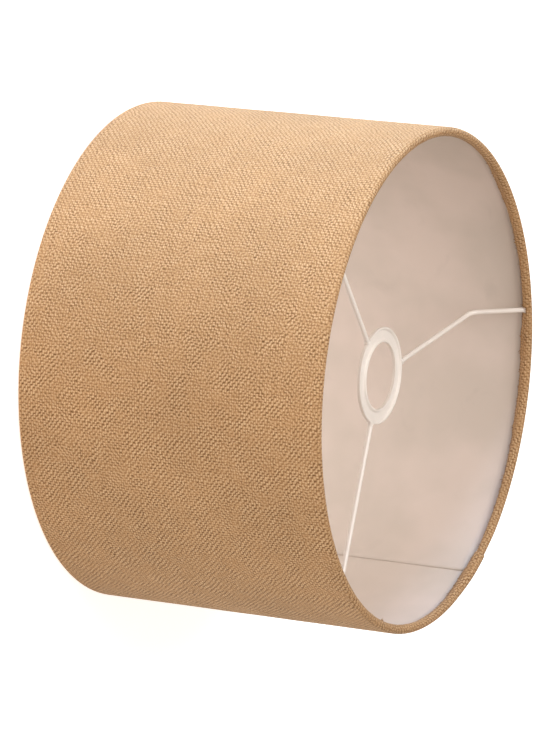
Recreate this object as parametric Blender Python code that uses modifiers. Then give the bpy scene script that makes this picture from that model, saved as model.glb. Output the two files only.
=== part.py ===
"""Drum lamp shade, 300 mm across and 195 mm tall, standing upright with its recessed fitter ring at the top.

Frame: metres, +Z up along the drum's axis, origin at the centre of the bottom rim.
The cover is one sheet of woven cloth, turned in over a wire ring at each end. A stiff white sheet lines it,
rolled into a tube with a taped lap. Three bent wires carry the fitter ring from the top wire ring.
"""

import math

import bmesh
import bpy

# Overall size
SHADE_RADIUS = 0.150
SHADE_HEIGHT = 0.195

# Cover and lining sheets
CLOTH_THICKNESS = 0.0007
LINING_THICKNESS = 0.0004
GAP = 0.0003  # left between pieces that touch on the real shade
HEM_DEPTH = 0.0075  # how far the turned-in cloth reaches down from the rim
HEM_WRAP_DEG = (0, 37, 75, 105, 143, 180, 212)  # cloth round the wire, from its outer side over the rim

# Wire rings and the tape on them
RING_WIRE_DIAMETER = 0.0026
TAPE_THICKNESS = 0.0002
TAPE_WRAP_DEG = (-30, 15, 60, 105, 150)

# The lining's lap
SEAM_AZIMUTH_DEG = 41.0
SEAM_LAP = 0.012
SEAM_RAMP_DEG = 7.0
SEAM_EDGE_DEG = 0.4  # the hidden layer and the tape stop this far inside the lap

# Fitter ring, a shallow channel with an inner and an outer lip
FITTER_HOLE_RADIUS = 0.0200
FITTER_RADIUS = 0.0290
FITTER_HEIGHT = 0.0022
FITTER_BASE = 0.0009
FITTER_LIP = 0.0015
FITTER_ROUND = 0.0004
FITTER_RECESS = 0.0324  # from the rim down to the top of the ring's lips

# Arms
ARM_DIAMETER = 0.0030
ARM_COUNT = 3
ARM_FIRST_AZIMUTH_DEG = 110.0
ARM_BEND_RADIUS = 0.0080
ARM_BEND_INSET = 0.0162  # from the middle of the ring's wire in to the corner of the bend
WELD_WALL = 0.0005
WELD_LENGTH = 0.0018
NOTCH_CLEARANCE = 0.0007

# Mesh fineness
TURN_STEPS = 60
FITTER_STEPS = 40
WIRE_SIDES = 8

# Worked out from the sizes above
WRAP_RADIUS = RING_WIRE_DIAMETER / 2 + GAP + TAPE_THICKNESS + GAP + CLOTH_THICKNESS / 2
FLAT_OF_WRAP = math.sin(math.radians(75)) * WRAP_RADIUS + CLOTH_THICKNESS / 2
RING_RADIUS = SHADE_RADIUS - CLOTH_THICKNESS / 2 - WRAP_RADIUS
ARM_BEND_REACH = RING_RADIUS - ARM_BEND_INSET
TOP_RING_Z = SHADE_HEIGHT - FLAT_OF_WRAP
LINING_RADIUS = SHADE_RADIUS - CLOTH_THICKNESS - GAP - LINING_THICKNESS / 2
LINING_END = FLAT_OF_WRAP + RING_WIRE_DIAMETER / 2 + TAPE_THICKNESS + 3 * GAP
LAP_STEP = LINING_THICKNESS + TAPE_THICKNESS + 2 * GAP
ARM_Z = SHADE_HEIGHT - FITTER_RECESS - FITTER_HEIGHT / 2  # the arms' centre line

CLOTH = ("woven_cloth", (0.58, 0.38, 0.20), 0.9, 0.0)
SHEET = ("lining_sheet", (0.86, 0.82, 0.78), 0.5, 0.0)
PAINTED = ("painted_steel", (0.90, 0.86, 0.82), 0.35, 0.0)
STEEL = ("ring_wire", (0.45, 0.45, 0.45), 0.4, 1.0)
TAPE = ("tape", (0.80, 0.76, 0.66), 0.6, 0.0)


def material(finish):
    """The Principled material of a (name, colour, roughness, metallic) finish, made once."""
    name, colour, roughness, metallic = finish
    found = bpy.data.materials.get(name)
    if found:
        return found
    made = bpy.data.materials.new(name)
    made.use_nodes = True
    shader = made.node_tree.nodes["Principled BSDF"]
    shader.inputs["Base Color"].default_value = (*colour, 1.0)
    shader.inputs["Roughness"].default_value = roughness
    shader.inputs["Metallic"].default_value = metallic
    return made


def collection(name):
    made = bpy.data.collections.new(name)
    bpy.context.scene.collection.children.link(made)
    return made


def place(name, data, finish, home):
    """A new object of this mesh or curve, with its material, in the collection home."""
    made = bpy.data.objects.new(name, data)
    home.objects.link(made)
    if finish:
        data.materials.append(material(finish))
    return made


def outline_mesh(name, points, closed):
    """A mesh of edges only, through points given as (radius, height)."""
    count = len(points)
    edges = [(i, i + 1) for i in range(count - 1)]
    if closed:
        edges.append((count - 1, 0))
    mesh = bpy.data.meshes.new(name)
    mesh.from_pydata([(radius, 0, height) for radius, height in points], edges, [])
    return mesh


def turned(name, points, closed, steps, finish, home):
    """A profile of (radius, height) points swept once round the drum's axis."""
    made = place(name, outline_mesh(name, points, closed), finish, home)
    screw = made.modifiers.new("Turn", "SCREW")
    screw.steps = steps
    screw.render_steps = steps
    screw.use_merge_vertices = True
    screw.merge_threshold = 0.00001
    return made


def thicken(made, thickness):
    """Gives an open surface a wall, half to each side."""
    wall = made.modifiers.new("Wall", "SOLIDIFY")
    wall.thickness = thickness
    wall.offset = 0
    wall.use_even_offset = True


def wrap(angles_deg, radius):
    """Points on an arc round the top ring's wire. Angle 0 faces outwards, and 90 faces up."""
    return [
        (RING_RADIUS + radius * math.cos(math.radians(a)), TOP_RING_Z + radius * math.sin(math.radians(a)))
        for a in angles_deg
    ]


def upside_down(points):
    return [(radius, SHADE_HEIGHT - height) for radius, height in points]


def fabric_cover(home, cutters):
    """The cloth tube, turned in over both wire rings, with a snip in the top hem for each arm."""
    tuck_radius = LINING_RADIUS - LINING_THICKNESS / 2 - GAP - CLOTH_THICKNESS / 2
    top = wrap(HEM_WRAP_DEG, WRAP_RADIUS) + [(tuck_radius, SHADE_HEIGHT - HEM_DEPTH)]
    profile = upside_down(top)[::-1] + top
    cover = turned("fabric_cover", profile, False, TURN_STEPS, CLOTH, home)
    thicken(cover, CLOTH_THICKNESS)
    notch_top = TOP_RING_Z + CLOTH_THICKNESS
    notch_bottom = SHADE_HEIGHT - HEM_DEPTH - ARM_DIAMETER
    notch_width = ARM_DIAMETER + 2 * (WELD_WALL + GAP + NOTCH_CLEARANCE)
    notch_outer = LINING_RADIUS
    notch_inner = RING_RADIUS - 3 * WRAP_RADIUS
    for number in range(ARM_COUNT):
        azimuth = arm_azimuth(number)
        reach = (notch_outer + notch_inner) / 2
        bpy.ops.mesh.primitive_cube_add(
            size=1,
            location=(
                reach * math.cos(azimuth),
                reach * math.sin(azimuth),
                (notch_top + notch_bottom) / 2,
            ),
            rotation=(0, 0, azimuth),
            scale=(notch_outer - notch_inner, notch_width, notch_top - notch_bottom),
        )
        cutter = bpy.context.object
        cutter.name = f"snip_{number + 1}"
        move_to(cutter, cutters)
        cutter.hide_render = True
        cutter.display_type = "WIRE"
        snip = cover.modifiers.new(f"Snip {number + 1}", "BOOLEAN")
        snip.object = cutter
    return cover


def move_to(made, home):
    for other in list(made.users_collection):
        other.objects.unlink(made)
    home.objects.link(made)


def curved_sheet(name, columns, thickness, finish, home):
    """A thin upright sheet through columns of (azimuth, radius, low, high)."""
    mesh = bpy.data.meshes.new(name)
    shape = bmesh.new()
    pairs = []
    for azimuth, radius, low, high in columns:
        x, y = radius * math.cos(azimuth), radius * math.sin(azimuth)
        pairs.append((shape.verts.new((x, y, low)), shape.verts.new((x, y, high))))
    for (low_a, high_a), (low_b, high_b) in zip(pairs, pairs[1:]):
        shape.faces.new((low_a, low_b, high_b, high_a))
    shape.to_mesh(mesh)
    shape.free()
    made = place(name, mesh, finish, home)
    thicken(made, thickness)
    return made


def lining_panel(home):
    """The stiff sheet inside the cloth, with its visible end stepped inwards over its other end."""
    seam = math.radians(SEAM_AZIMUTH_DEG)
    lap = SEAM_LAP / LINING_RADIUS
    ramp = math.radians(SEAM_RAMP_DEG)
    hidden_end = 2 * math.pi + lap - math.radians(SEAM_EDGE_DEG)
    full = (LINING_END, SHADE_HEIGHT - LINING_END)
    short_end = HEM_DEPTH + 2 * GAP
    short = (short_end, SHADE_HEIGHT - short_end)
    columns = [
        (seam, LINING_RADIUS - LAP_STEP, *short),
        (seam + lap / 2, LINING_RADIUS - LAP_STEP, *short),
        (seam + lap, LINING_RADIUS - LAP_STEP, *short),
        (seam + lap + ramp / 2, LINING_RADIUS - LAP_STEP / 2, *short),
    ]
    start = lap + ramp
    steps = TURN_STEPS
    for i in range(steps + 1):
        turn = start + (hidden_end - start) * i / steps
        columns.append((seam + turn, LINING_RADIUS, *full))
    return curved_sheet("lining_panel", columns, LINING_THICKNESS, SHEET, home)


def lining_seam_tape(home):
    """The double-sided tape between the two ends of the lining."""
    edge = math.radians(SEAM_EDGE_DEG)
    seam = math.radians(SEAM_AZIMUTH_DEG)
    lap = SEAM_LAP / LINING_RADIUS
    end = HEM_DEPTH + 3 * GAP
    first, last = seam + edge, seam + lap - 2 * edge
    columns = [
        (first + (last - first) * i / 3, LINING_RADIUS - LAP_STEP / 2, end, SHADE_HEIGHT - end)
        for i in range(4)
    ]
    return curved_sheet("lining_seam_tape", columns, TAPE_THICKNESS, TAPE, home)


def wire_ring(name, height, home):
    bpy.ops.mesh.primitive_torus_add(
        major_segments=TURN_STEPS,
        minor_segments=WIRE_SIDES,
        major_radius=RING_RADIUS,
        minor_radius=RING_WIRE_DIAMETER / 2,
        location=(0, 0, height),
    )
    made = bpy.context.object
    made.name = name
    move_to(made, home)
    made.data.materials.append(material(STEEL))
    made.data.shade_smooth()
    return made


def ring_tape(name, at_bottom, home):
    """Tape on the outer and upper side of a wire ring, which holds the cloth to it."""
    radius = RING_WIRE_DIAMETER / 2 + GAP + TAPE_THICKNESS / 2
    points = wrap(TAPE_WRAP_DEG, radius)
    if at_bottom:
        points = upside_down(points)[::-1]
    made = turned(name, points, False, TURN_STEPS, TAPE, home)
    thicken(made, TAPE_THICKNESS)
    return made


def fitter_ring(home):
    """The channel-shaped ring that sits on a lamp holder, as a closed profile turned round the axis."""
    low = ARM_Z - FITTER_HEIGHT / 2
    high = low + FITTER_HEIGHT
    floor = low + FITTER_BASE
    edge = FITTER_ROUND
    inner, outer = FITTER_HOLE_RADIUS, FITTER_RADIUS
    profile = [
        (outer - edge, high),
        (outer, high - edge),
        (outer, low + edge),
        (outer - edge, low),
        (inner + edge, low),
        (inner, low + edge),
        (inner, high - edge),
        (inner + edge, high),
        (inner + FITTER_LIP - edge, high),
        (inner + FITTER_LIP, high - edge),
        (inner + FITTER_LIP, floor),
        (outer - FITTER_LIP, floor),
        (outer - FITTER_LIP, high - edge),
        (outer - FITTER_LIP + edge, high),
    ]
    return turned("fitter_ring", profile, True, FITTER_STEPS, PAINTED, home)


def arm_azimuth(number):
    return math.radians(ARM_FIRST_AZIMUTH_DEG) + 2 * math.pi * number / ARM_COUNT


def arm_slope():
    """The direction of an arm's outer leg, as (outwards, upwards), and the leg's length to its weld on the ring wire.

    The leg aims far enough inside the wire's centre for its weld to stay clear of the lining."""
    out = RING_RADIUS - ARM_BEND_REACH
    up = TOP_RING_Z - ARM_Z
    length = math.hypot(out, up)
    weld_radius = ARM_DIAMETER / 2 + GAP + WELD_WALL
    weld_back = RING_WIRE_DIAMETER / 2 + 2 * GAP
    weld_reach = RING_RADIUS + (up * weld_radius - out * weld_back) / length
    lining_face = LINING_RADIUS * math.cos(math.pi / TURN_STEPS) - LINING_THICKNESS / 2
    out -= max(0.0, weld_reach + GAP - lining_face)
    length = math.hypot(out, up)
    return out / length, up / length, length


def spider_arm(number, home):
    """A wire that runs level from the fitter ring, then bends up to the top wire ring."""
    out, up, length = arm_slope()
    turn = math.atan2(up, out)
    tangent = ARM_BEND_RADIUS * math.tan(turn / 2)
    steps = 6
    points = [(FITTER_RADIUS + GAP, ARM_Z)]
    for i in range(steps + 1):
        angle = turn * i / steps
        points.append(
            (
                ARM_BEND_REACH - tangent + ARM_BEND_RADIUS * math.sin(angle),
                ARM_Z + ARM_BEND_RADIUS * (1 - math.cos(angle)),
            )
        )
    reach = length - RING_WIRE_DIAMETER / 2 - GAP
    points.append((ARM_BEND_REACH + out * reach, ARM_Z + up * reach))
    data = bpy.data.curves.new(f"spider_arm_{number + 1}", "CURVE")
    data.dimensions = "3D"
    spline = data.splines.new("POLY")
    spline.points.add(len(points) - 1)
    for target, (radius, height) in zip(spline.points, points):
        target.co = (radius, 0, height, 1)
    data.bevel_depth = ARM_DIAMETER / 2
    data.bevel_resolution = 2
    data.use_fill_caps = True
    made = place(f"spider_arm_{number + 1}", data, PAINTED, home)
    made.rotation_euler[2] = arm_azimuth(number)
    return made


def weld_bead(name, start, direction, azimuth, home):
    """A collar of weld metal round an arm's end. start and direction are (outwards, upwards) pairs."""
    inner = ARM_DIAMETER / 2 + GAP
    profile = [
        (inner, 0),
        (inner + WELD_WALL, 0),
        (inner + WELD_WALL, WELD_LENGTH / 2),
        (inner + WELD_WALL / 2, WELD_LENGTH),
        (inner, WELD_LENGTH),
    ]
    made = turned(name, profile[::-1], True, 2 * WIRE_SIDES, PAINTED, home)
    out, up = direction
    made.rotation_euler = (0, math.atan2(out, up), azimuth)
    made.location = (start[0] * math.cos(azimuth), start[0] * math.sin(azimuth), start[1])
    return made


def welds(number, home):
    out, up, length = arm_slope()
    azimuth = arm_azimuth(number)
    reach = length - RING_WIRE_DIAMETER / 2 - 2 * GAP
    rim_start = (ARM_BEND_REACH + out * reach, ARM_Z + up * reach)
    weld_bead(f"rim_weld_{number + 1}", rim_start, (-out, -up), azimuth, home)
    fitter_start = (FITTER_RADIUS + GAP, ARM_Z)
    weld_bead(f"fitter_weld_{number + 1}", fitter_start, (1, 0), azimuth, home)


def main():
    for old in list(bpy.data.objects):
        bpy.data.objects.remove(old)
    home = collection("lamp_shade")
    cutters = collection("cutters")
    fabric_cover(home, cutters)
    lining_panel(home)
    lining_seam_tape(home)
    wire_ring("top_ring", TOP_RING_Z, home)
    wire_ring("bottom_ring", SHADE_HEIGHT - TOP_RING_Z, home)
    ring_tape("top_ring_tape", False, home)
    ring_tape("bottom_ring_tape", True, home)
    fitter_ring(home)
    for number in range(ARM_COUNT):
        spider_arm(number, home)
        welds(number, home)


main()
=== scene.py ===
"""Looks of a drum lamp shade: woven cloth turned in over wire rings, a stiff lining and a welded spider."""
import math
import random

import bmesh
import bpy
from bpy.props import FloatProperty, FloatVectorProperty, IntProperty, PointerProperty
from mathutils import Matrix, Vector, noise


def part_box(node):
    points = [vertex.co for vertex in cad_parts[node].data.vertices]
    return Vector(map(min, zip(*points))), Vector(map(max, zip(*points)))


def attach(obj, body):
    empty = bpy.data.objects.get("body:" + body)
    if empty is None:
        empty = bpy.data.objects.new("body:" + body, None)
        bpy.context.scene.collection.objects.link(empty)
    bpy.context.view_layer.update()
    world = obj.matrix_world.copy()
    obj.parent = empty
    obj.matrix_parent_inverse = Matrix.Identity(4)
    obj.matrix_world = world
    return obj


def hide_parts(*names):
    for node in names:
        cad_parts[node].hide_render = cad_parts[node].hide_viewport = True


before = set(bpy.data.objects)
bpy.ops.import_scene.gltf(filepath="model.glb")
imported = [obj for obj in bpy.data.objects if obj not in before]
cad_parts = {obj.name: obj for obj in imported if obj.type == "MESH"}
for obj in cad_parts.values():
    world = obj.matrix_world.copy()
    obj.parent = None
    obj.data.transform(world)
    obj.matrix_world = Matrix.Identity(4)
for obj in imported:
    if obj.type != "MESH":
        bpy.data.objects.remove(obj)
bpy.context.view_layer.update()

bl_info = {
    "name": "Drum Lamp Shade",
    "version": (1, 0, 0),
    "blender": (4, 5, 0),
    "location": "3D View > Sidebar > Lamp Shade",
    "description": "Builds a cloth drum lamp shade round its packed frame",
    "category": "Add Mesh",
}

MM = 0.001
COVER_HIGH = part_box("fabric_cover")[1]
FITTER_LOW, FITTER_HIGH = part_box("fitter_ring")

WRAP_ROOM = 1.15 * MM  # from a ring's wire to the middle of the cloth turned round it
SNIP_ROOM = 0.55 * MM  # on each side of an arm, where the hem is snipped
LINING_ROOM = 0.5 * MM  # from the cloth's inner face to the middle of the lining
LINING_END_ROOM = 1.3 * MM  # from a ring's wire to the lining's end
LINING_LAP_ROOM = 0.12 * MM  # between the two layers of the lining's lap, round the tape
LAP_PRESS = 0.2 * MM  # how far the visible layer of the cloth's lap is pressed down
LAP_SINK = 0.3 * MM  # how far its hidden layer is pressed in
TAPE_INSET = 9 * MM  # from each rim to the end of the seam tape
TAPE_THICKNESS = 0.08 * MM
FRAY_YARNS = 330  # yarn ends drawn for each raw edge


def linear(code):
    """A scene-linear colour from an sRGB hex code."""
    parts = [int(code[i : i + 2], 16) / 255 for i in (0, 2, 4)]
    return tuple(c / 12.92 if c <= 0.04045 else ((c + 0.055) / 1.055) ** 2.4 for c in parts)


def colour_property(name, description, code):
    return FloatVectorProperty(
        name=name, description=description, subtype="COLOR", size=3, min=0, max=1, default=linear(code)
    )


def length_property(name, description, metres):
    return FloatProperty(
        name=name,
        description=description,
        default=metres,
        min=0,
        precision=4,
        subtype="DISTANCE",
        unit="LENGTH",
    )


def angle_property(name, description, degrees):
    return FloatProperty(
        name=name, description=description, default=math.radians(degrees), subtype="ANGLE", unit="ROTATION"
    )


class ShadeSizes(bpy.types.PropertyGroup):
    """Sizes of the cloth, the lining, the wires and the fitter ring."""

    radius: length_property("Shade radius", "Outer radius of the cloth", COVER_HIGH[0])
    height: length_property("Shade height", "From the bottom rim to the top rim", COVER_HIGH[2])
    cloth: length_property("Cloth thickness", "Thickness of the woven cloth", 0.7 * MM)
    cloth_lap: length_property("Cloth lap", "Overlap of the cloth's two ends", 13 * MM)
    cloth_seam: angle_property("Cloth seam", "Where the cloth's lap starts, from +X", 41.5)
    hem_cut: length_property("Hem edge", "Mean length of raw edge that lies on the lining", 0.5 * MM)
    lining: length_property("Lining thickness", "Thickness of the stiff sheet", 0.4 * MM)
    lining_lap: length_property("Lining lap", "Overlap of the lining's two ends", 12 * MM)
    lining_seam: angle_property("Lining seam", "Where the lining's visible end is, from +X", 41)
    ring_wire: length_property("Ring wire", "Diameter of the wire rings in the hems", 2.6 * MM)
    arm_wire: length_property("Arm wire", "Diameter of the spider's arms", 3.0 * MM)
    arm_count: IntProperty(name="Arms", description="Number of spider arms", default=3, min=1, max=6)
    arm_first: angle_property("First arm", "Azimuth of the first arm, from +X", 110)
    bend_reach: length_property("Bend reach", "From the axis to the corner of an arm's bend", 131 * MM)
    bend_radius: length_property("Bend radius", "Radius of an arm's bend", 8 * MM)
    fitter_radius: length_property("Fitter radius", "Outer radius of the fitter ring", FITTER_HIGH[0])
    fitter_hole: length_property("Fitter hole", "Radius of the lamp holder's hole", 20 * MM)
    fitter_lip: length_property("Fitter lip", "Width of the ring's two raised lips", 1.9 * MM)


class ShadeColours(bpy.types.PropertyGroup):
    """Colours of the cloth, the lining and the metal."""

    # The crown colour is partly a painted highlight on the yarns, and the gap colour is partly painted shade
    # between them.
    yarn_crown_highlight: colour_property("Yarn crown", "Cloth where a yarn stands up", "D6B48D")
    yarn_body: colour_property("Yarn body", "Cloth's usual colour", "AF865C")
    yarn_gap_shade: colour_property("Yarn gap", "Cloth between the yarns", "64452B")
    lining: colour_property("Lining", "Stiff white sheet", "DACBC1")
    lining_tint: colour_property("Lining tint", "Sheet where the cloth shows through", "CFC2B7")
    paint: colour_property("Paint", "White powder coat of the spider", "F1E7DE")
    wire: colour_property("Wire", "Bare steel of the rings in the hems", "B9B6B0")
    tape: colour_property("Tape", "Double-sided tissue tape", "DDD6C2")
    floor: colour_property("Floor", "Studio floor", "F7F6F5")


def sizes():
    return bpy.context.scene.shade_sizes


def colours():
    return bpy.context.scene.shade_colours


# Materials


def add_node(tree, kind, sockets=None, links=None, stops=(), **settings):
    """Adds one node with its settings, its socket values and its links from other nodes' outputs.

    A ramp also takes its stops, as (position, linear colour) from the lowest up.
    """
    made = tree.nodes.new(kind)
    for name, value in settings.items():
        setattr(made, name, value)
    for number, (position, colour) in enumerate(stops):
        elements = made.color_ramp.elements
        element = elements[number] if number < len(elements) else elements.new(position)
        element.position = position
        element.color = (*colour, 1)
    for key, value in (sockets or {}).items():
        made.inputs[key].default_value = value
    for key, source in (links or {}).items():
        tree.links.new(source, made.inputs[key])
    return made


def new_material(name, constants):
    """A material with one Principled shader whose constant sockets are set.

    Returns it, its tree and the shader, or it with two Nones where it was made before.
    """
    made = bpy.data.materials.get(name)
    if made:
        return made, None, None
    made = bpy.data.materials.new(name)
    made.use_nodes = True
    tree = made.node_tree
    shader = tree.nodes["Principled BSDF"]
    for key, value in constants.items():
        shader.inputs[key].default_value = value
    return made, tree, shader


def woven_cloth():
    """Linen-look canvas in plain weave, laminated to a stiff sheet.

    The yarns are thick and thin, so it is matt, dotted and streaky. Its loose fibres catch light at a
    glancing angle.
    """
    constants = {"IOR": 1.5, "Sheen Weight": 0.12, "Sheen Roughness": 0.45, "Specular IOR Level": 0.15}
    constants["Sheen Tint"] = (1.0, 0.88, 0.72, 1)
    made, tree, shader = new_material("woven_linen_canvas", constants)
    if not tree:
        return made
    warp_pitch, weft_pitch = 1.8 * MM, 1.55 * MM  # spacing of the yarns round the drum and along its axis
    place = add_node(tree, "ShaderNodeUVMap", uv_map="yarns").outputs["UV"]  # in metres along the cloth
    drift = add_node(
        tree, "ShaderNodeTexNoise", {"Scale": 1 / (6 * MM), "Detail": 4.0}, {"Vector": place}
    ).outputs["Color"]
    drift = add_node(
        tree, "ShaderNodeVectorMath", {1: (0.5, 0.5, 0.5)}, {0: drift}, operation="SUBTRACT"
    ).outputs[0]
    drift = add_node(
        tree, "ShaderNodeVectorMath", {"Scale": 2.0}, {0: drift}, operation="SCALE"
    ).outputs[0]  # in yarn spacings
    count = add_node(
        tree,
        "ShaderNodeVectorMath",
        {1: (1 / warp_pitch, 1 / weft_pitch, 0)},
        {0: place, 2: drift},
        operation="MULTIPLY_ADD",
    ).outputs[0]
    axes = add_node(tree, "ShaderNodeSeparateXYZ", links={0: count})
    waves = []
    for axis in "XY":
        turn = add_node(
            tree, "ShaderNodeMath", {1: math.pi}, {0: axes.outputs[axis]}, operation="MULTIPLY"
        ).outputs[0]
        waves.append(add_node(tree, "ShaderNodeMath", {}, {0: turn}, operation="SINE").outputs[0])
    warp, weft = (
        add_node(tree, "ShaderNodeMath", {}, {0: wave}, operation="ABSOLUTE").outputs[0] for wave in waves
    )
    # Plain weave's dots, with the two slants of its chequer. One slant or the other leads in each patch, as
    # the sheet was pulled a little askew on its backing.
    dots = add_node(tree, "ShaderNodeMath", {}, {0: warp, 1: weft}, operation="MULTIPLY").outputs[0]
    patch = add_node(
        tree, "ShaderNodeTexNoise", {"Scale": 1 / (14 * MM), "Detail": 2.0}, {"Vector": place}
    ).outputs["Fac"]
    # The pull changes along the cloth, so the second slant takes over past the middle of the sheet
    pull = add_node(tree, "ShaderNodeSeparateXYZ", links={0: place}).outputs["X"]
    pull = add_node(
        tree,
        "ShaderNodeMapRange",
        {"From Min": 480 * MM, "From Max": 640 * MM, "To Min": 0.2, "To Max": -0.06},
        {"Value": pull},
    ).outputs[0]
    patch = add_node(tree, "ShaderNodeMath", {}, {0: patch, 1: pull}, operation="ADD").outputs[0]
    ribs = add_node(tree, "ShaderNodeMath", {1: 0.15}, {0: warp}, operation="MULTIPLY").outputs[0]
    relief = add_node(
        tree, "ShaderNodeMath", {1: 0.52}, {0: dots, 2: ribs}, operation="MULTIPLY_ADD"
    ).outputs[0]
    slants = []
    for sign, low, high in ((-1, 0.1, 0.19), (1, 0.28, 0.04)):
        step = add_node(
            tree,
            "ShaderNodeVectorMath",
            {1: (sign * math.pi, math.pi, 0)},
            {0: count},
            operation="DOT_PRODUCT",
        ).outputs["Value"]
        wave = add_node(tree, "ShaderNodeMath", {}, {0: step}, operation="SINE").outputs[0]
        lead = add_node(
            tree,
            "ShaderNodeMapRange",
            {"From Min": 0.4, "From Max": 0.6, "To Min": low, "To Max": high},
            {"Value": patch},
        ).outputs[0]
        relief = add_node(
            tree, "ShaderNodeMath", {}, {0: wave, 1: lead, 2: relief}, operation="MULTIPLY_ADD"
        ).outputs[0]
        slants.append(wave)
    # Glue has filled the weave a little in some places, which lie smoother
    open_weave = add_node(
        tree,
        "ShaderNodeTexNoise",
        {"Scale": 1 / (11 * MM), "Detail": 2.0, "Distortion": 0.4},
        {"Vector": place},
    ).outputs["Fac"]
    open_weave = add_node(
        tree,
        "ShaderNodeMapRange",
        {"From Min": 0.38, "From Max": 0.6, "To Min": 0.75, "To Max": 1.2},
        {"Value": open_weave},
    ).outputs[0]
    relief = add_node(tree, "ShaderNodeMath", {1: 0.31}, {0: relief}, operation="SUBTRACT").outputs[0]
    relief = add_node(tree, "ShaderNodeMath", {}, {0: relief, 1: open_weave}, operation="MULTIPLY").outputs[0]
    top = add_node(
        tree, "ShaderNodeMapRange", {"From Min": -0.5, "From Max": 0.5}, {"Value": slants[0]}
    ).outputs[0]
    # Thick and thin places run along each yarn for a few centimetres
    slubs = []
    for stretch in ((1 / (24 * MM), 1 / (1.7 * MM), 0), (1 / (1.8 * MM), 1 / (20 * MM), 0)):
        along = add_node(
            tree, "ShaderNodeVectorMath", {1: stretch}, {0: place}, operation="MULTIPLY"
        ).outputs[0]
        thickness = add_node(
            tree, "ShaderNodeTexNoise", {"Scale": 1.0, "Detail": 2.0}, {"Vector": along}
        ).outputs["Fac"]
        slubs.append(thickness)
    slub = add_node(
        tree, "ShaderNodeMix", {}, {"Factor": top, "A": slubs[0], "B": slubs[1]}, data_type="FLOAT"
    ).outputs[0]
    height = add_node(
        tree, "ShaderNodeMath", {1: 0.6}, {0: slub, 2: relief}, operation="MULTIPLY_ADD"
    ).outputs[0]
    fibre = add_node(
        tree, "ShaderNodeTexNoise", {"Scale": 1 / (0.9 * MM), "Detail": 3.0}, {"Vector": place}
    ).outputs["Fac"]
    height = add_node(
        tree, "ShaderNodeMath", {1: 1.4}, {0: fibre, 2: height}, operation="MULTIPLY_ADD"
    ).outputs[0]
    # The colour follows the yarns' height. That height carries their real fibre and slub tone, plus painted
    # shade in the gaps between the yarns and a painted highlight on their crowns.
    tone = add_node(
        tree, "ShaderNodeMapRange", {"From Min": 0.2, "From Max": 1.78}, {"Value": height}
    ).outputs[0]
    c = colours()
    stops = [(0.05, c.yarn_gap_shade), (0.5, c.yarn_body), (0.95, c.yarn_crown_highlight)]
    colour = add_node(tree, "ShaderNodeValToRGB", {}, {"Fac": tone}, stops).outputs[0]
    fade = add_node(
        tree, "ShaderNodeTexNoise", {"Scale": 1 / (60 * MM), "Detail": 3.0}, {"Vector": place}
    ).outputs["Fac"]
    fade = add_node(
        tree,
        "ShaderNodeMapRange",
        {"From Min": 0.3, "From Max": 0.7, "To Min": 0.94, "To Max": 1.05},
        {"Value": fade},
    ).outputs[0]
    colour = add_node(
        tree, "ShaderNodeVectorMath", {}, {0: colour, "Scale": fade}, operation="SCALE"
    ).outputs[0]
    tree.links.new(colour, shader.inputs["Base Color"])
    rough = add_node(
        tree,
        "ShaderNodeMapRange",
        {"From Min": 0.1, "From Max": 1.5, "To Min": 0.95, "To Max": 0.78},
        {"Value": height},
    ).outputs[0]
    tree.links.new(rough, shader.inputs["Roughness"])
    bump = add_node(
        tree, "ShaderNodeBump", {"Strength": 0.75, "Distance": 0.4 * MM}, {"Height": height}
    )
    tree.links.new(bump.outputs[0], shader.inputs["Normal"])
    return made


def calendered_sheet():
    """Stiff white styrene, rolled flat between hot cylinders.

    It is satin and faintly uneven, and the cloth behind it warms it in patches.
    """
    made, tree, shader = new_material("calendered_styrene", {"IOR": 1.5, "Specular IOR Level": 0.4})
    if not tree:
        return made
    place = add_node(tree, "ShaderNodeTexCoord").outputs["Object"]
    patches = add_node(
        tree, "ShaderNodeTexNoise", {"Scale": 1 / (55 * MM), "Detail": 3.0}, {"Vector": place}
    ).outputs["Fac"]
    c = colours()
    stops = [(0.38, c.lining_tint), (0.62, c.lining)]
    colour = add_node(tree, "ShaderNodeValToRGB", {}, {"Fac": patches}, stops).outputs[0]
    # Rubbed places, a few centimetres long, from handling
    rub = add_node(
        tree,
        "ShaderNodeTexNoise",
        {"Scale": 1 / (22 * MM), "Detail": 4.0, "Distortion": 0.6},
        {"Vector": place},
    ).outputs["Fac"]
    rub = add_node(
        tree,
        "ShaderNodeMapRange",
        {"From Min": 0.62, "From Max": 0.78, "To Min": 1.0, "To Max": 0.94},
        {"Value": rub},
    ).outputs[0]
    colour = add_node(
        tree, "ShaderNodeVectorMath", {}, {0: colour, "Scale": rub}, operation="SCALE"
    ).outputs[0]
    tree.links.new(colour, shader.inputs["Base Color"])
    rough = add_node(
        tree,
        "ShaderNodeMapRange",
        {"From Min": 0.3, "From Max": 0.7, "To Min": 0.42, "To Max": 0.55},
        {"Value": patches},
    ).outputs[0]
    tree.links.new(rough, shader.inputs["Roughness"])
    # The cloth's weave presses a fine grain into the sheet
    grain = add_node(
        tree, "ShaderNodeTexNoise", {"Scale": 1 / (1.6 * MM), "Detail": 2.0}, {"Vector": place}
    ).outputs["Fac"]
    bump = add_node(
        tree, "ShaderNodeBump", {"Strength": 0.25, "Distance": 0.05 * MM}, {"Height": grain}
    )
    tree.links.new(bump.outputs[0], shader.inputs["Normal"])
    return made


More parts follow.
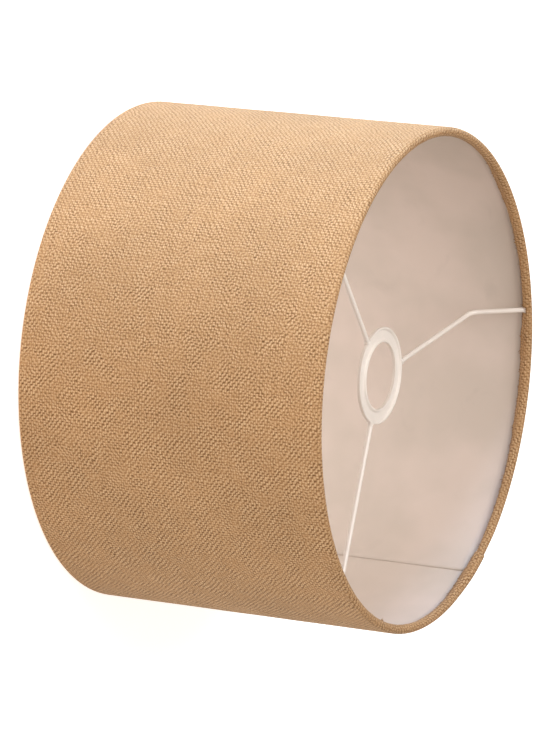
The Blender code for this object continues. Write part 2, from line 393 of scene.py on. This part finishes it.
def powder_coat():
    """Mild steel with a baked white powder coat.

    The powder flows to a soft gloss with a fine orange peel, and lies a little thin on sharp edges.
    """
    constants = {"IOR": 1.5, "Coat Weight": 0.25, "Coat Roughness": 0.2, "Coat IOR": 1.5}
    made, tree, shader = new_material("powder_coated_steel", constants)
    if not tree:
        return made
    place = add_node(tree, "ShaderNodeTexCoord").outputs["Object"]
    peel = add_node(
        tree, "ShaderNodeTexNoise", {"Scale": 1 / (0.7 * MM), "Detail": 2.0}, {"Vector": place}
    ).outputs["Fac"]
    edge = add_node(tree, "ShaderNodeNewGeometry").outputs["Pointiness"]
    wear = add_node(
        tree,
        "ShaderNodeMapRange",
        {"From Min": 0.52, "From Max": 0.62, "To Min": 1.0, "To Max": 0.93},
        {"Value": edge},
    ).outputs[0]
    cloud = add_node(
        tree, "ShaderNodeTexNoise", {"Scale": 1 / (12 * MM), "Detail": 2.0}, {"Vector": place}
    ).outputs["Fac"]
    paint = colours().paint
    stops = [(0.3, [0.955 * x for x in paint]), (0.7, paint)]
    colour = add_node(tree, "ShaderNodeValToRGB", {}, {"Fac": cloud}, stops).outputs[0]
    colour = add_node(
        tree, "ShaderNodeVectorMath", {}, {0: colour, "Scale": wear}, operation="SCALE"
    ).outputs[0]
    tree.links.new(colour, shader.inputs["Base Color"])
    rough = add_node(
        tree,
        "ShaderNodeMapRange",
        {"From Min": 0.3, "From Max": 0.7, "To Min": 0.3, "To Max": 0.42},
        {"Value": cloud},
    ).outputs[0]
    tree.links.new(rough, shader.inputs["Roughness"])
    bump = add_node(
        tree, "ShaderNodeBump", {"Strength": 0.35, "Distance": 0.06 * MM}, {"Height": peel}
    )
    tree.links.new(bump.outputs[0], shader.inputs["Normal"])
    return made


def drawn_wire():
    """Plain steel wire, drawn through a die, so fine lines run along it and it is dull grey."""
    made, tree, shader = new_material("drawn_steel_wire", {"Metallic": 1.0})
    if not tree:
        return made
    place = add_node(tree, "ShaderNodeTexCoord").outputs["Object"]
    lines = add_node(
        tree, "ShaderNodeVectorMath", {1: (60, 60, 4000)}, {0: place}, operation="MULTIPLY"
    ).outputs[0]
    lines = add_node(
        tree, "ShaderNodeTexNoise", {"Scale": 1.0, "Detail": 2.0}, {"Vector": lines}
    ).outputs["Fac"]
    steel = colours().wire
    stops = [(0.35, [0.75 * x for x in steel]), (0.65, steel)]
    colour = add_node(tree, "ShaderNodeValToRGB", {}, {"Fac": lines}, stops).outputs[0]
    tree.links.new(colour, shader.inputs["Base Color"])
    rough = add_node(
        tree, "ShaderNodeMapRange", {"To Min": 0.3, "To Max": 0.5}, {"Value": lines}
    ).outputs[0]
    tree.links.new(rough, shader.inputs["Roughness"])
    return made


def tissue_tape():
    """Double-sided tape on a tissue carrier, pressed down, so it is cloudy and a little shiny."""
    made, tree, shader = new_material("pressed_tissue_tape", {"IOR": 1.48})
    if not tree:
        return made
    place = add_node(tree, "ShaderNodeTexCoord").outputs["Object"]
    cloud = add_node(
        tree, "ShaderNodeTexNoise", {"Scale": 1 / (3 * MM), "Detail": 4.0}, {"Vector": place}
    ).outputs["Fac"]
    tape = colours().tape
    stops = [(0.35, [0.85 * x for x in tape]), (0.65, tape)]
    colour = add_node(tree, "ShaderNodeValToRGB", {}, {"Fac": cloud}, stops).outputs[0]
    tree.links.new(colour, shader.inputs["Base Color"])
    rough = add_node(
        tree, "ShaderNodeMapRange", {"To Min": 0.35, "To Max": 0.6}, {"Value": cloud}
    ).outputs[0]
    tree.links.new(rough, shader.inputs["Roughness"])
    return made


def studio_paper():
    """Seamless white background paper, a soft matt sheet that glows a little under studio light."""
    made, tree, shader = new_material("seamless_paper", {"Roughness": 0.9, "Emission Strength": 0.74})
    if not tree:
        return made
    shader.inputs["Emission Color"].default_value = (1, 0.97, 0.93, 1)
    place = add_node(tree, "ShaderNodeTexCoord").outputs["Object"]
    cloud = add_node(
        tree, "ShaderNodeTexNoise", {"Scale": 1 / (400 * MM), "Detail": 2.0}, {"Vector": place}
    ).outputs["Fac"]
    floor = colours().floor
    stops = [(0.3, [0.98 * x for x in floor]), (0.7, floor)]
    colour = add_node(tree, "ShaderNodeValToRGB", {}, {"Fac": cloud}, stops).outputs[0]
    tree.links.new(colour, shader.inputs["Base Color"])
    return made


# Mesh work


def finish_piece(name, shape, material, replaced=()):
    """Makes a piece from a bmesh, smooth, with its material and slot. It rides on the root body."""
    mesh = bpy.data.meshes.new(name)
    shape.normal_update()
    shape.to_mesh(mesh)
    shape.free()
    for face in mesh.polygons:
        face.use_smooth = True
    mesh.materials.append(material)
    made = bpy.data.objects.new(name, mesh)
    bpy.context.scene.collection.objects.link(made)
    if replaced:
        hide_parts(*replaced)
    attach(made, "root")
    return made


def grid(shape, columns, yarn_places=None):
    """Quads through columns of points, with each point's place on the flat cloth as its UV in metres."""
    layer = shape.loops.layers.uv.new("yarns") if yarn_places else None
    verts = [[shape.verts.new(p) for p in column] for column in columns]
    for i in range(len(columns) - 1):
        for j in range(len(columns[i]) - 1):
            corners = ((i, j), (i + 1, j), (i + 1, j + 1), (i, j + 1))
            face = shape.faces.new([verts[a][b] for a, b in corners])
            if layer:
                for loop, (a, b) in zip(face.loops, corners):
                    loop[layer].uv = yarn_places[a][b]


def thicken(piece, thickness):
    wall = piece.modifiers.new("Thickness", "SOLIDIFY")
    wall.thickness = thickness
    wall.offset = 0
    wall.use_rim = True


def tube(shape, path, radii, sides, closed=False, wobble=0.0, seed=0):
    """A round tube along points in one plane or nearly so, with a radius at each point and capped ends."""
    rings = []
    count = len(path)
    normal = None
    for i, point in enumerate(path):
        if closed:
            along = path[(i + 1) % count] - path[i - 1]
        else:
            along = path[min(i + 1, count - 1)] - path[max(i - 1, 0)]
        along.normalize()
        if normal is None:
            normal = along.orthogonal()
        normal = (normal - along * normal.dot(along)).normalized()
        side = along.cross(normal)
        ring = []
        for k in range(sides):
            a = 2 * math.pi * k / sides
            out = normal * math.cos(a) + side * math.sin(a)
            lump = 1 + wobble * noise.noise(point * 900 + out * 1.3 + Vector((seed, 0, 0)))
            ring.append(shape.verts.new(point + out * radii[i] * lump))
        rings.append(ring)
    pairs = list(zip(rings, rings[1:]))
    if closed:
        pairs.append((rings[-1], rings[0]))
    for first, second in pairs:
        for k in range(sides):
            n = (k + 1) % sides
            shape.faces.new((first[k], first[n], second[n], second[k]))
    if not closed:
        shape.faces.new(rings[0][::-1])
        shape.faces.new(rings[-1])


def at(azimuth, radius, height):
    return Vector((radius * math.cos(azimuth), radius * math.sin(azimuth), height))


def ring_place():
    """Radius of a ring wire's centre line, its distance from the rim, and the cloth's radius round it."""
    s = sizes()
    wrap = s.ring_wire / 2 + WRAP_ROOM
    return s.radius - s.cloth / 2 - wrap, s.cloth / 2 + wrap, wrap


def lining_middle():
    """Radius of the lining's middle, away from its lap."""
    s = sizes()
    return s.radius - s.cloth - LINING_ROOM


def lining_depth(azimuth):
    """How far the lining stands in from its usual radius at its lap, for the layer that shows."""
    s = sizes()
    step = s.lining + LINING_LAP_ROOM
    past = (azimuth - s.lining_seam) % (2 * math.pi)
    lap = s.lining_lap / lining_middle()
    ramp_angle = math.radians(7)
    if past < lap:
        return step
    if past < lap + ramp_angle:
        x = (past - lap) / ramp_angle
        return step * (1 - x * x * (3 - 2 * x))
    return 0.0


def hem_hang(azimuth, end):
    """How far the turned-in cloth hangs before it meets the lining, from 0 for tight to 1 for loose.

    It wanders round the rim, because the hem was tucked by hand.
    """
    shift = 0.0 if end > 0 else 2.1
    wave = (
        0.25 * math.sin(2 * azimuth + 2.6 + shift)
        + 0.7 * math.sin(6 * azimuth - 1.57 + 2 * shift)
        + 0.3 * math.sin(11 * azimuth + 1.0 + shift)
        + 0.25 * math.sin(17 * azimuth + 2.2)
    )
    return min(1.0, max(0.0, 0.5 + 0.5 * wave))


def raw_edge(azimuth, end):
    """Length of the raw edge that lies on the lining. It was cut a little unevenly."""
    s = sizes()
    fine = noise.noise(Vector((26 * math.cos(azimuth), 26 * math.sin(azimuth), 5 * end)))
    return s.hem_cut * (1 + fine)


def arm_azimuths():
    s = sizes()
    return [s.arm_first + 2 * math.pi * i / s.arm_count for i in range(s.arm_count)]


def cloth_column(azimuth, lift):
    """Points of the cloth's middle surface at one azimuth, and how far along the cloth each one is.

    They run from the bottom raw edge over both rims to the top raw edge. lift raises a layer of the lap,
    and sinks it where it is negative.
    """
    s = sizes()
    ring_radius, ring_drop, wrap = ring_place()
    # A raised layer stands out less on the wall than inside the rim
    outer_lift = lift * (0.6 if lift > 0 else 1)
    wrap_steps, flap_steps, wall_steps = 24, 8, 30
    pucker_depth, curl_depth, sway_depth, edge_room = 0.16 * MM, 0.15 * MM, 0.12 * MM, 0.1 * MM
    snip = any(
        abs((azimuth - a + math.pi) % (2 * math.pi) - math.pi) * ring_radius < s.arm_wire / 2 + SNIP_ROOM
        for a in arm_azimuths()
    )
    lining_face = lining_middle() - s.lining / 2 - lining_depth(azimuth)
    rest = lining_face - s.cloth / 2 - edge_room - lift
    halves = []
    for end in (-1, 1):
        snipped = snip and end > 0
        last = math.radians(176 if snipped else 252 - 32 * hem_hang(azimuth, end))
        half = []
        for i in range(wrap_steps + 1):
            a = last * i / wrap_steps
            pucker = pucker_depth * max(0.0, math.sin(a - math.pi / 2)) * noise.noise(
                Vector((36 * math.cos(azimuth), 36 * math.sin(azimuth), 9 * end))
            )
            reach = wrap + outer_lift + (lift - outer_lift) * (1 - math.cos(a)) / 2 + pucker
            half.append((ring_radius + reach * math.cos(a), ring_drop - reach * math.sin(a)))
        radius, drop = half[-1]
        lean = (-math.sin(last), -math.cos(last))
        cut = 0.0 if snipped else max(0.0, rest - radius) / lean[0] + raw_edge(azimuth, end)
        for i in range(1, flap_steps + 1):
            x = cut * i / flap_steps
            curl = curl_depth * (i / flap_steps) ** 4
            r = radius + lean[0] * x
            over = max(0.0, r - rest)
            half.append((min(r, rest) - curl, drop + lean[1] * x + 0.3 * over))
        halves.append(half)
    bottom = halves[0][::-1]
    wall_low, wall_high = ring_drop, s.height - ring_drop
    wall = []
    for i in range(1, wall_steps):
        z = wall_low + (wall_high - wall_low) * i / wall_steps
        sway = sway_depth * noise.noise(Vector((9 * math.cos(azimuth), 9 * math.sin(azimuth), 30 * z)))
        wall.append((ring_radius + wrap + outer_lift + sway * math.sin(math.pi * i / wall_steps), z))
    top = [(r, s.height - d) for r, d in halves[1]]
    points = bottom + wall + top
    along, places = 0.0, []
    for i, (r, z) in enumerate(points):
        if i:
            along += math.dist(points[i], points[i - 1])
        places.append(along)
    middle = places[len(bottom) + len(wall) // 2]
    return points, [p - middle for p in places]


def cover_azimuths():
    """Azimuths from the cloth's hidden end round to its visible end, closer together beside the snips."""
    s = sizes()
    turn = 2 * math.pi + s.cloth_lap / s.radius
    count = 420
    found = [s.cloth_seam + turn * i / count for i in range(count + 1)]
    ring_radius = ring_place()[0]
    half = (s.arm_wire / 2 + SNIP_ROOM) / ring_radius
    for centre in arm_azimuths():
        if centre < s.cloth_seam:
            centre += 2 * math.pi
        found = [a for a in found if abs(a - centre) > half + 0.0012]
        for side in (-1, 1):
            found += [centre + side * (half + d) for d in (-0.0004, 0.0004)]
        found += [centre - half / 2, centre, centre + half / 2]
    return sorted(found)


def build_cover():
    s = sizes()
    shape = bmesh.new()
    columns, flat = [], []
    lap = s.cloth_lap / s.radius
    azimuths = cover_azimuths()
    end = azimuths[-1]
    for azimuth in azimuths:
        before = (end - azimuth) / lap  # 1 where the lap starts, 0 at the visible end
        lift = 0.0
        if before < 3:
            x = min(1.0, (3 - before) / 2)
            lift = (s.cloth - LAP_PRESS) * x * x * (3 - 2 * x)
        after = (azimuth - azimuths[0]) / lap
        if after < 3:
            x = min(1.0, (3 - after) / 2)
            lift -= LAP_SINK * x * x * (3 - 2 * x)
        points, places = cloth_column(azimuth, lift)
        columns.append([at(azimuth, r, z) for r, z in points])
        u = (azimuth - azimuths[0]) * s.radius
        flat.append([(u, v) for v in places])
    grid(shape, columns, flat)
    cover = finish_piece("cloth_cover", shape, woven_cloth(), ["fabric_cover"])
    thicken(cover, s.cloth)
    lengths = [column[-1][1] - column[0][1] for column in flat]
    return cover, (flat[-1][0][0], max(lengths)), columns


def build_fray(name, end, columns):
    """Short yarn ends that stick out of the raw edge inside one rim."""
    s = sizes()
    draw = random.Random(7 if end > 0 else 11)
    shape = bmesh.new()
    layer = shape.loops.layers.uv.new("yarns")
    for _ in range(FRAY_YARNS):
        i = draw.randrange(3, len(columns) - 3)
        column = columns[i] if end > 0 else columns[i][::-1]
        root, before = column[-1], column[-3]
        if (root - before).length < 0.05 * MM:
            continue
        along = (root - before).normalized()
        side = (columns[i + 1][-1 if end > 0 else 0] - columns[i - 1][-1 if end > 0 else 0]).normalized()
        if abs(side.z) > 0.6:
            continue  # the steep sides of a snip
        inward = Vector((-root.x, -root.y, 0)).normalized()
        length = draw.uniform(0.4, 1.5) * MM
        sweep, lean = draw.uniform(-0.7, 0.7), draw.uniform(0.0, 0.5)
        root = root + side * draw.uniform(-0.8, 0.8) * MM - along * 0.3 * MM
        path = []
        for k in range(4):
            x = length * k / 3
            bend = x * x / length
            path.append(root + along * (x + 0.3 * MM * (k > 0)) + side * sweep * bend + inward * lean * bend)
        tube(shape, path, [0.16 * MM, 0.15 * MM, 0.11 * MM, 0.05 * MM], 5)
    for face in shape.faces:
        for loop in face.loops:
            p = loop.vert.co
            loop[layer].uv = (math.atan2(p.y, p.x) * s.radius, p.z)
    return finish_piece(name, shape, woven_cloth())


def build_lining():
    s = sizes()
    shape = bmesh.new()
    columns = []
    middle = lining_middle()
    low = ring_place()[1] + s.ring_wire / 2 + LINING_END_ROOM
    lap = s.lining_lap / middle
    count, rows = 300, 26
    turn = 2 * math.pi + lap - math.radians(0.4)
    for i in range(count + 1):
        azimuth = s.lining_seam + turn * i / count
        hidden = i > count / 2 and azimuth - s.lining_seam > 2 * math.pi - math.radians(2)
        inset = 0.0 if hidden else lining_depth(azimuth)
        column = []
        for j in range(rows + 1):
            z = low + (s.height - 2 * low) * j / rows
            ripple = noise.noise(Vector((7 * math.cos(azimuth), 7 * math.sin(azimuth), 22 * z)))
            ripple = 0.14 * MM * min(0.0, ripple) * math.sin(math.pi * j / rows)
            column.append(at(azimuth, middle - inset + ripple, z))
        columns.append(column)
    grid(shape, columns)
    panel = finish_piece("lining_sheet", shape, calendered_sheet(), ["lining_panel"])
    thicken(panel, s.lining)
    return panel, (turn * middle, s.height - 2 * low)


def build_seam_tape():
    s = sizes()
    shape = bmesh.new()
    middle = lining_middle()
    radius = middle - (s.lining + LINING_LAP_ROOM) / 2
    columns = []
    for i in range(9):
        azimuth = s.lining_seam + (s.lining_lap * (0.08 + 0.8 * i / 8)) / middle
        columns.append(
            [at(azimuth, radius, TAPE_INSET + (s.height - 2 * TAPE_INSET) * j / 8) for j in range(9)]
        )
    grid(shape, columns)
    tape = finish_piece("seam_tape", shape, tissue_tape(), ["lining_seam_tape"])
    thicken(tape, TAPE_THICKNESS)


def build_ring(name, height, weld_azimuth):
    """One wire ring, bent round and butt welded, with the weld's slight swelling."""
    s = sizes()
    radius = ring_place()[0]
    count = 300
    path, radii = [], []
    for i in range(count):
        a = weld_azimuth + 2 * math.pi * i / count
        away = min(i, count - i) * 2 * math.pi * radius / count
        path.append(at(a, radius, height))
        radii.append(s.ring_wire / 2 + 0.2 * MM * math.exp(-((away / (1.6 * MM)) ** 2)))
    shape = bmesh.new()
    tube(shape, path, radii, 16, closed=True)
    return finish_piece(f"{name}_wire", shape, drawn_wire(), [name])


def rounded(points, radius, steps):
    """A closed outline of (radius, height) corners with each corner rounded."""
    found = []
    count = len(points)
    for i, corner in enumerate(points):
        corner = Vector(corner)
        before, after = Vector(points[i - 1]) - corner, Vector(points[(i + 1) % count]) - corner
        reach = min(radius, before.length * 0.49, after.length * 0.49)
        first, last = corner + before.normalized() * reach, corner + after.normalized() * reach
        for k in range(steps + 1):
            x = k / steps
            found.append(first * (1 - x) ** 2 + corner * 2 * x * (1 - x) + last * x * x)
    return found


def build_fitter():
    """The pressed ring that sits on the lamp holder: a flat channel between two raised, rounded lips."""
    s = sizes()
    low, high = FITTER_LOW[2], FITTER_HIGH[2]
    floor = low + 0.9 * MM  # of the channel between the lips
    inner, outer, lip = s.fitter_hole, s.fitter_radius, s.fitter_lip
    slope = 0.7 * MM  # the lips' sides lean, as a press leaves them
    outline = [
        (inner, low), (inner, high), (inner + lip - slope, high), (inner + lip, floor),
        (outer - lip, floor), (outer - lip + slope, high), (outer, high), (outer, low),
    ]
    profile = rounded(outline, 0.55 * MM, 5)
    steps = 160
    shape = bmesh.new()
    rings = [[shape.verts.new(at(2 * math.pi * i / steps, p.x, p.y)) for p in profile] for i in range(steps)]
    count = len(profile)
    for i in range(steps):
        first, second = rings[i], rings[(i + 1) % steps]
        for k in range(count):
            n = (k + 1) % count
            shape.faces.new((first[k], first[n], second[n], second[k]))
    return finish_piece("fitter_ring_pressed", shape, powder_coat(), ["fitter_ring"])


def arm_path():
    """(radius, height) points down the middle of an arm, from the fitter ring to the top wire ring."""
    s = sizes()
    height = (FITTER_LOW[2] + FITTER_HIGH[2]) / 2
    ring_radius, ring_drop, _ = ring_place()
    out, up = ring_radius - s.bend_reach, s.height - ring_drop - height
    length = math.hypot(out, up)
    turn = math.atan2(up, out)
    tangent = s.bend_radius * math.tan(turn / 2)
    start = s.fitter_radius - 0.3 * MM
    straight = s.bend_reach - tangent
    points = [Vector((start + (straight - start) * i / 24, height)) for i in range(24)]
    for i in range(15):
        a = turn * i / 14
        points.append(
            Vector((straight + s.bend_radius * math.sin(a), height + s.bend_radius * (1 - math.cos(a))))
        )
    reach = length - s.ring_wire / 2 + 0.2 * MM
    bend_end = points[-1].copy()
    last = Vector((s.bend_reach + out / length * reach, height + up / length * reach))
    points += [bend_end.lerp(last, i / 10) for i in range(1, 11)]
    return points


def build_arms():
    s = sizes()
    for number, azimuth in enumerate(arm_azimuths(), 1):
        path = [at(azimuth, p.x, p.y) for p in arm_path()]
        radius = s.arm_wire / 2
        shape = bmesh.new()
        tube(shape, path, [radius] * len(path), 24)
        finish_piece(f"arm_wire_{number}", shape, powder_coat(), [f"spider_arm_{number}"])
        # Fillets of weld metal, fat at the joint and thinning out along the arm
        for name, start, step, swell in (
            ("fitter_weld", 0, 1, 0.85 * MM),
            ("rim_weld", -1, -1, 0.6 * MM),
        ):
            first = path[start]
            along = (path[start + step] - first).normalized()
            length, steps = 2.4 * MM, 9
            bead, radii = [], []
            for i in range(steps + 1):
                x = i / steps
                bead.append(first + along * length * x)
                radii.append(radius - 0.05 * MM + swell * (1 - x) ** 1.7)
            shape = bmesh.new()
            tube(shape, bead, radii, 20, wobble=0.09, seed=3.7 * number + start)
            finish_piece(
                f"{name}_bead_{number}", shape, powder_coat(), [f"{name}_{number}"]
            )


# Operators


class SHADE_OT_cover(bpy.types.Operator):
    """Build the cloth cover with its turned-in hems, its lap and its frayed raw edges"""

    bl_idname = "lamp_shade.cover"
    bl_label = "Cloth cover"

    def execute(self, context):
        cover, flat, columns = build_cover()
        frays = [
            build_fray(f"{word}_hem_fray", end, columns)
            for word, end in (("bottom", -1), ("top", 1))
        ]
        return {"FINISHED"}


class SHADE_OT_lining(bpy.types.Operator):
    """Build the stiff lining with its lap and the tape inside the lap"""

    bl_idname = "lamp_shade.lining"
    bl_label = "Lining"

    def execute(self, context):
        panel, flat = build_lining()
        build_seam_tape()
        return {"FINISHED"}


class SHADE_OT_rings(bpy.types.Operator):
    """Build the wire rings inside the hems and finish the tape on them"""

    bl_idname = "lamp_shade.rings"
    bl_label = "Wire rings and tape"

    def execute(self, context):
        drop = ring_place()[1]
        build_ring("top_ring", sizes().height - drop, math.radians(200))
        build_ring("bottom_ring", drop, math.radians(20))
        for name in ("top_ring_tape", "bottom_ring_tape"):
            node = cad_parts[name]
            node.data.materials.clear()
            node.data.materials.append(tissue_tape())
        return {"FINISHED"}


class SHADE_OT_fitter(bpy.types.Operator):
    """Build the pressed fitter ring"""

    bl_idname = "lamp_shade.fitter"
    bl_label = "Fitter ring"

    def execute(self, context):
        build_fitter()
        return {"FINISHED"}


class SHADE_OT_arms(bpy.types.Operator):
    """Build the bent wire arms and their welds"""

    bl_idname = "lamp_shade.arms"
    bl_label = "Arms and welds"

    def execute(self, context):
        build_arms()
        return {"FINISHED"}


def area_light(name, place, target, size, power, colour=(1, 1, 1)):
    """A round soft light of a size in metres and a power in watts, which the camera doesn't see."""
    data = bpy.data.lights.new(name, "AREA")
    data.shape = "DISK"
    data.size = size
    data.energy = power
    data.color = colour
    made = bpy.data.objects.new(name, data)
    bpy.context.scene.collection.objects.link(made)
    made.location = place
    made.rotation_euler = (Vector(target) - Vector(place)).to_track_quat("-Z", "Y").to_euler()
    made.visible_camera = False
    return made


class SHADE_OT_stage(bpy.types.Operator):
    """Set the floor, the soft studio light and the camera"""

    bl_idname = "lamp_shade.stage"
    bl_label = "Stage"

    def execute(self, context):
        scene = context.scene
        scene.view_settings.view_transform = "Standard"
        shape = bmesh.new()
        edge = 6.0
        columns = [[(x * edge, y * edge, -0.2 * MM) for y in (-1, 0, 1)] for x in (-1, 0, 1)]
        grid(shape, columns)
        mesh = bpy.data.meshes.new("floor")
        shape.to_mesh(mesh)
        shape.free()
        mesh.materials.append(studio_paper())
        floor = bpy.data.objects.new("floor", mesh)
        scene.collection.objects.link(floor)

        world = bpy.data.worlds.new("studio")
        scene.world = world
        world.use_nodes = True
        background = world.node_tree.nodes["Background"]
        background.inputs["Color"].default_value = (1.0, 0.9, 0.8, 1)
        background.inputs["Strength"].default_value = 0.38
        middle = (0, 0, sizes().height / 2)
        area_light("key", (-1.6, -0.25, 0.14), middle, 0.7, 28, (0.78, 1.06, 1.45))
        area_light("overhead", (-0.5, -0.5, 1.6), middle, 0.9, 17)
        area_light("front", (0.1, -1.9, 1.5), middle, 1.4, 8)

        camera = bpy.data.cameras.new("camera")
        camera.lens = 246.59
        camera.sensor_width = 36
        camera.clip_end = 50
        view = bpy.data.objects.new("camera", camera)
        scene.collection.objects.link(view)
        right = Vector((-0.11190, 0.43266, 0.89459))
        up = Vector((-0.99372, -0.04758, -0.10129))
        back = -Vector((0.00126, 0.90030, -0.43526))
        turn = Matrix((right, up, back)).transposed()
        view.matrix_world = Matrix.Translation((0, -2.72825, 1.41313)) @ turn.to_4x4()
        scene.camera = view
        return {"FINISHED"}


class SHADE_PT_panel(bpy.types.Panel):
    """Lists the lamp shade's builders, sizes and colours"""

    bl_idname = "SHADE_PT_panel"
    bl_label = "Lamp Shade"
    bl_space_type = "VIEW_3D"
    bl_region_type = "UI"
    bl_category = "Lamp Shade"

    def draw(self, context):
        for operator in BUILDERS:
            self.layout.operator(operator.bl_idname)
        for group in (context.scene.shade_sizes, context.scene.shade_colours):
            box = self.layout.box()
            for name in group.bl_rna.properties.keys():
                if name not in ("rna_type", "name"):
                    box.prop(group, name)


BUILDERS = (SHADE_OT_cover, SHADE_OT_lining, SHADE_OT_rings, SHADE_OT_fitter, SHADE_OT_arms, SHADE_OT_stage)
CLASSES = (ShadeSizes, ShadeColours, *BUILDERS, SHADE_PT_panel)


def register():
    for item in CLASSES:
        bpy.utils.register_class(item)
    bpy.types.Scene.shade_sizes = PointerProperty(type=ShadeSizes)
    bpy.types.Scene.shade_colours = PointerProperty(type=ShadeColours)


def unregister():
    del bpy.types.Scene.shade_colours
    del bpy.types.Scene.shade_sizes
    for item in reversed(CLASSES):
        bpy.utils.unregister_class(item)


def main():
    register()
    bpy.ops.lamp_shade.cover()
    bpy.ops.lamp_shade.lining()
    bpy.ops.lamp_shade.rings()
    bpy.ops.lamp_shade.fitter()
    bpy.ops.lamp_shade.arms()
    bpy.ops.lamp_shade.stage()


if __name__ == "__main__":
    main()
